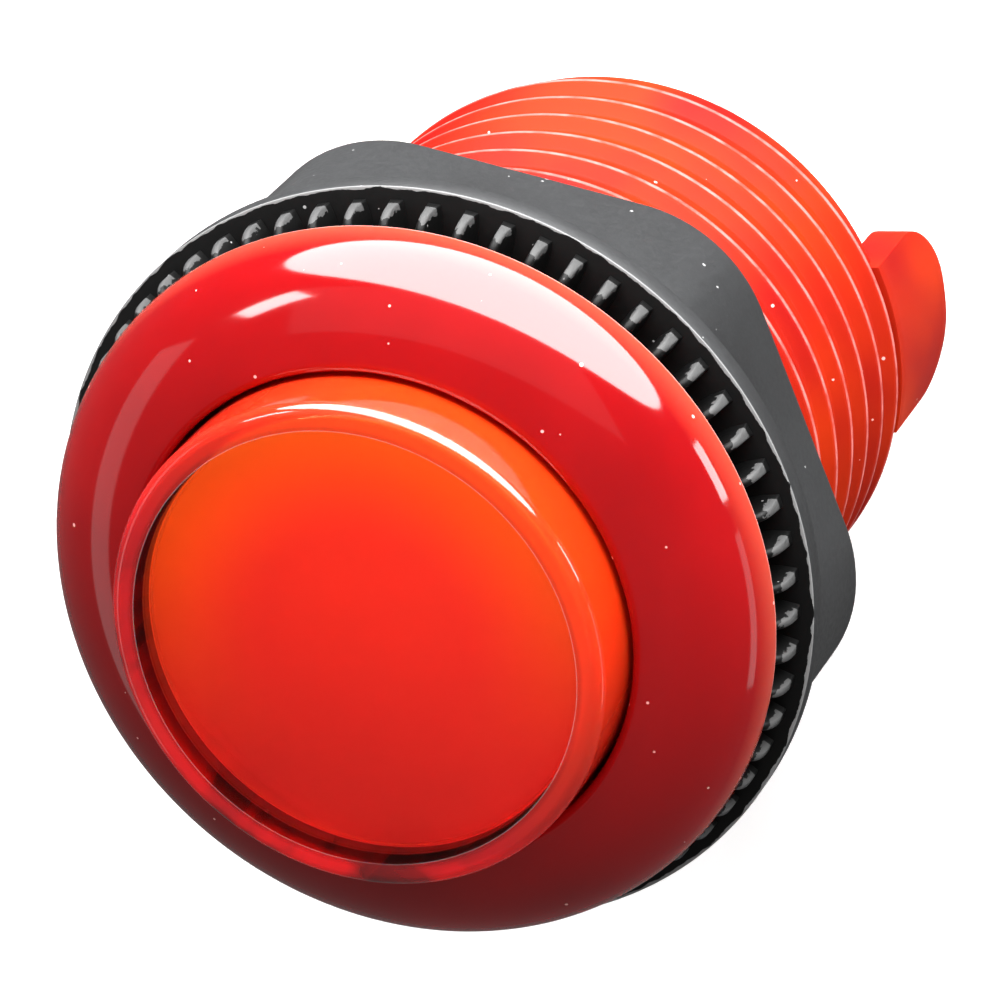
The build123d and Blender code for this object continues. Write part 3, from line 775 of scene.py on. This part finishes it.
def makeCrownTree(tooth, material):
    # Puts copies of the tooth round the axis, one for each count
    tree = bpy.data.node_groups.new("toothCrown", "GeometryNodeTree")
    tree.interface.new_socket("Geometry", in_out="INPUT", socket_type="NodeSocketGeometry")
    tree.interface.new_socket("Count", in_out="INPUT", socket_type="NodeSocketInt")
    tree.interface.new_socket("First Angle", in_out="INPUT", socket_type="NodeSocketFloat")
    tree.interface.new_socket("Geometry", in_out="OUTPUT", socket_type="NodeSocketGeometry")
    entry = addNode(tree, "NodeGroupInput")
    points = addNode(tree, "GeometryNodePoints", {}, {"Count": (entry, "Count")})
    number = addNode(tree, "GeometryNodeInputIndex")
    step = addNode(tree, "ShaderNodeMath", {"operation": "DIVIDE", 0: 2 * math.pi}, {1: (entry, "Count")})
    angle = addNode(
        tree, "ShaderNodeMath", {"operation": "MULTIPLY_ADD"},
        {0: (number, "Index"), 1: (step, "Value"), 2: (entry, "First Angle")},
    )
    turn = addNode(tree, "ShaderNodeCombineXYZ", {}, {"Z": (angle, "Value")})
    shape = addNode(tree, "GeometryNodeObjectInfo", {"Object": tooth})
    copies = addNode(
        tree, "GeometryNodeInstanceOnPoints", {},
        {"Points": (points, "Points"), "Instance": (shape, "Geometry"), "Rotation": (turn, "Vector")},
    )
    solid = addNode(tree, "GeometryNodeRealizeInstances", {}, {"Geometry": (copies, "Instances")})
    join = addNode(tree, "GeometryNodeJoinGeometry")
    tree.links.new(entry.outputs["Geometry"], join.inputs["Geometry"])
    tree.links.new(solid.outputs["Geometry"], join.inputs["Geometry"])
    painted = addNode(
        tree, "GeometryNodeSetMaterial", {"Material": material}, {"Geometry": (join, "Geometry")}
    )
    addNode(tree, "NodeGroupOutput", {}, {"Geometry": (painted, "Geometry")})
    return tree


def makeNut():
    sideNylon = makeBlackNylon("blackNylon", nutSideLook)
    paintedShadeNylon = makeBlackNylon("paintedShadeBlackNylon", nutPaintedShadeLook)
    tooth = newObject("tooth", toothMesh())
    obj = newObject("panelNut", meshFromQuads("panelNut", nutQuads()))
    crown = obj.modifiers.new("crown", "NODES")
    crown.node_group = makeCrownTree(tooth, sideNylon)
    setInput(crown, "Count", nut["teeth"])
    setInput(crown, "First Angle", 0.0)
    settled(obj)
    bpy.data.objects.remove(tooth)
    smoothByAngle(obj, nut["smoothAngle"])
    # the flange's front and the teeth get the darker copy of the nylon: painted shade under the bezel's
    # overhang
    paintedShadeStart = nut["flangeFront"] - nut["frontDepth"]
    dress(obj, sideNylon, paintedShadeNylon, pick=lambda height: int(height > paintedShadeStart))
    return finishPiece(obj, "nut", "black_nylon", "panel_nut", "nut_crown")


nutPiece = makeNut()
print("panel nut made:", len(nutPiece.data.polygons), "faces")


# Return spring: round wire on a helix, from geometry nodes, in millimetres

spring = {
    "wire": 0.7, "meanRadius": 9.65, "bottom": -13.35, "top": -6.0, "turns": 4.5,
    "wireSides": 16, "stepsPerTurn": 72, "pressed": 2.8, "seat": -13.4, "smoothAngle": 50,
}


def makeRolledMetal(name, dark, light, low, high):
    # Rolled strip or drawn wire: fine lines along the piece and small tarnish clouds
    material, tree = newMaterial(name)
    place = (addNode(tree, "ShaderNodeTexCoord"), "Object")
    stretch = addNode(tree, "ShaderNodeMapping", {"Scale": (1.0, 1.0, 0.06)}, {"Vector": place})
    lines = addNode(
        tree, "ShaderNodeTexNoise", {"Scale": grainScale(0.15), "Detail": 2.0},
        {"Vector": (stretch, "Vector")},
    )
    tarnish = addNode(
        tree, "ShaderNodeTexNoise", {"Scale": grainScale(1.8), "Detail": 4.0}, {"Vector": place}
    )
    colour = addNode(
        tree, "ShaderNodeMix", {"data_type": "RGBA", mixA: hexColour(dark), mixB: hexColour(light)},
        {mixBy: (tarnish, "Fac")},
    )
    shine = addNode(tree, "ShaderNodeMapRange", {"To Min": low, "To Max": high}, {"Value": (lines, "Fac")})
    skin = addNode(
        tree, "ShaderNodeBsdfPrincipled", {"Metallic": 1.0},
        {"Base Color": (colour, mixed), "Roughness": (shine, "Result")},
    )
    addNode(tree, "ShaderNodeOutputMaterial", {}, {"Surface": (skin, "BSDF")})
    return material


def makeSpringTree(material):
    # A wire of round section on a spiral of one radius
    tree = bpy.data.node_groups.new("coil", "GeometryNodeTree")
    tree.interface.new_socket("Geometry", in_out="INPUT", socket_type="NodeSocketGeometry")
    for name in ("Radius", "Height", "Turns", "Wire Radius"):
        tree.interface.new_socket(name, in_out="INPUT", socket_type="NodeSocketFloat")
    tree.interface.new_socket("Geometry", in_out="OUTPUT", socket_type="NodeSocketGeometry")
    entry = addNode(tree, "NodeGroupInput")
    coil = addNode(
        tree, "GeometryNodeCurveSpiral", {"Resolution": spring["stepsPerTurn"]},
        {
            "Rotations": (entry, "Turns"), "Height": (entry, "Height"),
            "Start Radius": (entry, "Radius"), "End Radius": (entry, "Radius"),
        },
    )
    section = addNode(
        tree, "GeometryNodeCurvePrimitiveCircle", {"Resolution": spring["wireSides"]},
        {"Radius": (entry, "Wire Radius")},
    )
    wire = addNode(
        tree, "GeometryNodeCurveToMesh", {"Fill Caps": True},
        {"Curve": (coil, "Curve"), "Profile Curve": (section, "Curve")},
    )
    solid = addNode(tree, "GeometryNodeRealizeInstances", {}, {"Geometry": (wire, "Mesh")})
    painted = addNode(
        tree, "GeometryNodeSetMaterial", {"Material": material}, {"Geometry": (solid, "Geometry")}
    )
    addNode(tree, "NodeGroupOutput", {}, {"Geometry": (painted, "Geometry")})
    return tree


def makeSpring(material):
    wire, bottom, top, seat = spring["wire"], spring["bottom"], spring["top"], spring["seat"]
    obj = newObject("returnSpring", bpy.data.meshes.new("returnSpring"))
    coil = obj.modifiers.new("coil", "NODES")
    coil.node_group = makeSpringTree(material)
    setInput(coil, "Radius", spring["meanRadius"] * mm)
    setInput(coil, "Height", (top - bottom - wire) * mm)
    setInput(coil, "Turns", spring["turns"])
    setInput(coil, "Wire Radius", wire / 2 * mm)
    settled(obj)
    obj.data.transform(Matrix.Translation((0, 0, (bottom + wire / 2) * mm)))
    builder = bmesh.new()
    builder.from_mesh(obj.data)
    bmesh.ops.recalc_face_normals(builder, faces=builder.faces)  # a swept wire can come out inside out
    builder.to_mesh(obj.data)
    builder.free()
    smoothByAngle(obj, spring["smoothAngle"])
    dress(obj, material)
    finishPiece(obj, "housing", "spring_steel", "return_spring")
    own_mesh(obj)
    return obj


springSteel = makeRolledMetal("springSteel", "#8f9296", "#b9bcc0", 0.2, 0.38)
springPiece = makeSpring(springSteel)
print("return spring made:", len(springPiece.data.polygons), "faces")


# Finishes of the nodes that keep their CAD shape

# the disc's edge is lit between these radii, and its lit side between these places on Y
coreLook = {
    "shaded": "#d85a90", "lit": "#fcb450", "edgeStart": 4.5, "edgeFull": 10.0, "middleShare": 0.12,
    "shadedAt": -7.0, "litAt": 6.0, "cloudShare": 0.06, "domeFall": 14.0,
}


def makeMilky():
    # Polycarbonate with a white light-spreading filler: satin and soft inside, with a top that is a little
    # domed and takes up some of the cap's red. Its colour is painted light: the edge is painted lit and
    # orange for the light that runs along the cap's wall, most of all on the +Y side, where more light gets
    # in, and the middle and the -Y side are painted in a shaded tint
    look = coreLook
    material, tree = newMaterial("milkyPolycarbonate")
    place = (addNode(tree, "ShaderNodeTexCoord"), "Object")
    cloud = addNode(
        tree, "ShaderNodeTexNoise", {"Scale": grainScale(2.5), "Detail": 3.0}, {"Vector": place}
    )
    axes = addNode(tree, "ShaderNodeSeparateXYZ", {}, {"Vector": place})
    # painted light: the +Y side is painted lit and the -Y side shaded
    lit = addNode(
        tree, "ShaderNodeMapRange",
        {
            "interpolation_type": "SMOOTHSTEP",
            "From Min": look["shadedAt"] * mm, "From Max": look["litAt"] * mm,
        },
        {"Value": (axes, "Y")},
    )
    edge = addNode(
        tree, "ShaderNodeMapRange",
        {
            "interpolation_type": "SMOOTHSTEP", "To Min": look["middleShare"],
            "From Min": look["edgeStart"] * mm, "From Max": look["edgeFull"] * mm,
        },
        {"Value": (radiusOf(tree, place), "Value")},
    )
    litEdge = addNode(
        tree, "ShaderNodeMath", {"operation": "MULTIPLY"}, {0: (lit, "Result"), 1: (edge, "Result")}
    )
    tint = addNode(
        tree, "ShaderNodeMix",
        {"data_type": "RGBA", mixA: hexColour(look["shaded"]), mixB: hexColour(look["lit"])},
        {mixBy: (litEdge, "Value")},
    )
    body = addNode(
        tree, "ShaderNodeMix", {"data_type": "RGBA", "blend_type": "MULTIPLY", mixBy: look["cloudShare"]},
        {mixA: (tint, mixed), mixB: (cloud, "Color")},
    )
    shine = addNode(
        tree, "ShaderNodeMapRange", {"To Min": 0.35, "To Max": 0.5}, {"Value": (cloud, "Fac")}
    )
    flat = addNode(tree, "ShaderNodeMapping", {"Scale": (1.0, 1.0, 0.0)}, {"Vector": place})
    square = addNode(
        tree, "ShaderNodeVectorMath", {"operation": "DOT_PRODUCT"},
        {0: (flat, "Vector"), 1: (flat, "Vector")},
    )
    fall = addNode(
        tree, "ShaderNodeMath", {"operation": "MULTIPLY", 1: -look["domeFall"]}, {0: (square, "Value")}
    )
    dome = addNode(tree, "ShaderNodeBump", {"Strength": 1.0, "Distance": 1.0}, {"Height": (fall, "Value")})
    skin = addNode(
        tree, "ShaderNodeBsdfPrincipled", {"IOR": polycarbonateIor},
        {"Base Color": (body, mixed), "Roughness": (shine, "Result"), "Normal": (dome, "Normal")},
    )
    addNode(tree, "ShaderNodeOutputMaterial", {}, {"Surface": (skin, "BSDF")})
    return material


def makeMoulding(name, dark, light, low, high):
    # Plain satin moulding: two close tones in soft clouds, with a fine grain in its roughness
    material, tree = newMaterial(name)
    place = (addNode(tree, "ShaderNodeTexCoord"), "Object")
    cloud = addNode(
        tree, "ShaderNodeTexNoise", {"Scale": grainScale(3.0), "Detail": 3.0}, {"Vector": place}
    )
    grain = addNode(
        tree, "ShaderNodeTexNoise", {"Scale": grainScale(0.3), "Detail": 2.0}, {"Vector": place}
    )
    colour = addNode(
        tree, "ShaderNodeMix", {"data_type": "RGBA", mixA: hexColour(dark), mixB: hexColour(light)},
        {mixBy: (cloud, "Fac")},
    )
    shine = addNode(tree, "ShaderNodeMapRange", {"To Min": low, "To Max": high}, {"Value": (grain, "Fac")})
    skin = addNode(
        tree, "ShaderNodeBsdfPrincipled", {"IOR": nylonIor},
        {"Base Color": (colour, mixed), "Roughness": (shine, "Result")},
    )
    addNode(tree, "ShaderNodeOutputMaterial", {}, {"Surface": (skin, "BSDF")})
    return material


def makeClearEpoxy():
    # Water-clear cast epoxy of a diode's lens
    material, tree = newMaterial("clearEpoxy")
    place = (addNode(tree, "ShaderNodeTexCoord"), "Object")
    flow = addNode(tree, "ShaderNodeTexNoise", {"Scale": grainScale(2.0), "Detail": 2.0}, {"Vector": place})
    shine = addNode(tree, "ShaderNodeMapRange", {"To Min": 0.03, "To Max": 0.08}, {"Value": (flow, "Fac")})
    skin = addNode(
        tree, "ShaderNodeBsdfPrincipled",
        {"Base Color": hexColour("#f6f6f2"), "IOR": 1.52, "Transmission Weight": 0.9},
        {"Roughness": (shine, "Result")},
    )
    addNode(tree, "ShaderNodeOutputMaterial", {}, {"Surface": (skin, "BSDF")})
    return material


milky = makeMilky()
whiteMoulding = makeMoulding("whiteAcetal", "#e4e1d9", "#f1efe9", 0.35, 0.5)
blackMoulding = makeMoulding("blackPhenolic", "#161617", "#232325", 0.4, 0.6)
redPinMoulding = makeMoulding("redAcetal", "#8a1412", "#a31c18", 0.3, 0.45)
tinnedWire = makeRolledMetal("tinnedCopper", "#b3b3ae", "#cfcfca", 0.25, 0.4)
stampedBrass = makeRolledMetal("stampedBrass", "#a9853f", "#cba75c", 0.22, 0.4)
contactCopper = makeRolledMetal("berylliumCopper", "#a5643c", "#c98a58", 0.25, 0.4)
contactSilver = makeRolledMetal("silverAlloy", "#c3c2bd", "#dcdbd6", 0.2, 0.32)
clearEpoxy = makeClearEpoxy()
nodeFinishes = {
    "plunger_core": milky,
    "lamp_holder": whiteMoulding, "lamp_wedge_base": whiteMoulding, "lamp_led": clearEpoxy,
    "lamp_contact_left": stampedBrass, "lamp_contact_right": stampedBrass,
    "lamp_lead_left": tinnedWire, "lamp_lead_right": tinnedWire,
    "switch_case": blackMoulding, "switch_cover": blackMoulding,
    "lever_pin": springSteel, "switch_lever": springSteel, "switch_actuator": redPinMoulding,
    "contact_blade": contactCopper, "blade_rivet": contactSilver,
    "common_terminal": stampedBrass, "open_terminal": stampedBrass, "closed_terminal": stampedBrass,
}
for name, material in nodeFinishes.items():
    for slot in nodes[name].material_slots:
        slot.material = material
print("node finishes set:", len(nodeFinishes), "nodes")


# Camera, at the photograph's angle, in millimetres and degrees

view = {
    "place": (96.05, 97.21, 207.94), "aim": (3.53, 2.90, -2.54), "roll": -138.7,
    "lens": 204.5, "sensor": 36.0,
}


def makeCamera():
    data = bpy.data.cameras.new("camera")
    data.lens = view["lens"]
    data.sensor_width = view["sensor"]
    data.clip_start = 1 * mm
    camera = newObject("camera", data)
    place, aim = Vector(view["place"]) * mm, Vector(view["aim"]) * mm
    look = (aim - place).to_track_quat("-Z", "Y").to_matrix()
    turn = Matrix.Rotation(math.radians(view["roll"]), 3, "Z")
    camera.matrix_world = Matrix.Translation(place) @ (look @ turn).to_4x4()
    bpy.context.scene.camera = camera
    return camera


camera = makeCamera()
right, up, back = (camera.matrix_world.to_3x3().col[i].copy() for i in range(3))
print("camera placed, looking along", [round(-part, 3) for part in back])


# Floor and soft studio light, in millimetres and watts

studio = {
    "floorHeight": -37.6, "floorSize": 3000.0, "floorColour": "#ffffff", "floorGlow": 0.3,
    "worldColour": "#ffffff", "worldStrength": 0.16,
}
# place is to the right of, above and towards the camera from the button's middle. The key and the fill
# light the button, and the others are cards that only its gloss shows
softboxes = {
    "key": {"place": (-5.0, 270.0, 225.0), "size": (560.0, 210.0), "power": 8.0, "isCard": False},
    "overhead": {
        "place": (10.0, 297.0, 186.0), "size": (800.0, 520.0), "power": 15.5, "isCard": True,
        "shape": "ELLIPSE",
    },
    "fill": {"place": (-60.0, -200.0, 290.0), "size": (300.0, 200.0), "power": 0.3, "isCard": False},
    "room": {"place": (-130.0, 50.0, 320.0), "size": (420.0, 230.0), "power": 0.09, "isCard": True},
    "leftLamp": {
        "place": (-290.0, 88.0, 175.0), "size": (84.0, 44.0), "power": 0.22, "isCard": True, "layers": 2,
    },
    "leftStrip": {
        "place": (-326.0, -105.0, 18.0), "size": (340.0, 84.0), "power": 0.09, "isCard": True, "layers": 2,
    },
    "rightStrip": {"place": (326.0, -115.0, 30.0), "size": (220.0, 60.0), "power": 0.05, "isCard": True},
    "rightLamp": {
        "place": (326.0, 66.0, 108.0), "size": (90.0, 74.0), "power": 0.3, "isCard": True, "layers": 2,
    },
}


def makeFloor():
    half, height = studio["floorSize"] / 2, studio["floorHeight"]
    corners = ((-half, -half, height), (half, -half, height), (half, half, height), (-half, half, height))
    floor = newObject("floor", meshFromQuads("floor", [corners]))
    colour = hexColour(studio["floorColour"])
    material, tree = newMaterial("palePaper")
    skin = addNode(
        tree, "ShaderNodeBsdfPrincipled",
        {
            "Base Color": colour, "Roughness": 0.9,
            "Emission Color": colour, "Emission Strength": studio["floorGlow"],
        },
    )
    addNode(tree, "ShaderNodeOutputMaterial", {}, {"Surface": (skin, "BSDF")})
    dress(floor, material)
    floor.visible_glossy = False  # so wide a pale card isn't near the real button, whose gloss shows none


def makeSoftbox(name, place, size, power, isCard, layers=1, shape="RECTANGLE"):
    # Smaller layers on larger ones, equally bright, make a softbox that is dimmer towards its edges
    shares = [1 - layer / layers for layer in range(layers)]
    aim = Vector(view["aim"]) * mm
    spot = aim + (right * place[0] + up * place[1] + back * place[2]) * mm
    turn = (aim - spot).to_track_quat("-Z", "Y").to_matrix().to_4x4()
    for share in shares:
        data = bpy.data.lights.new(name, "AREA")
        data.shape = shape
        data.size, data.size_y = size[0] * share * mm, size[1] * share * mm
        data.energy = power * share ** 2 / sum(part ** 2 for part in shares)
        light = newObject(name, data)
        light.matrix_world = Matrix.Translation(spot) @ turn
        light.visible_camera = False
        light.visible_glossy = isCard
        light.visible_diffuse = not isCard
        light.visible_transmission = not isCard


def makeWorld():
    world = bpy.data.worlds.new("studio")
    bpy.context.scene.world = world
    world.use_nodes = True
    background = world.node_tree.nodes["Background"]
    background.inputs["Color"].default_value = hexColour(studio["worldColour"])
    background.inputs["Strength"].default_value = studio["worldStrength"]
    bpy.context.scene.view_settings.view_transform = "Standard"


makeFloor()
for name, softbox in softboxes.items():
    makeSoftbox(name + "Softbox", **softbox)
makeWorld()
print("studio made:", len(softboxes), "softboxes")
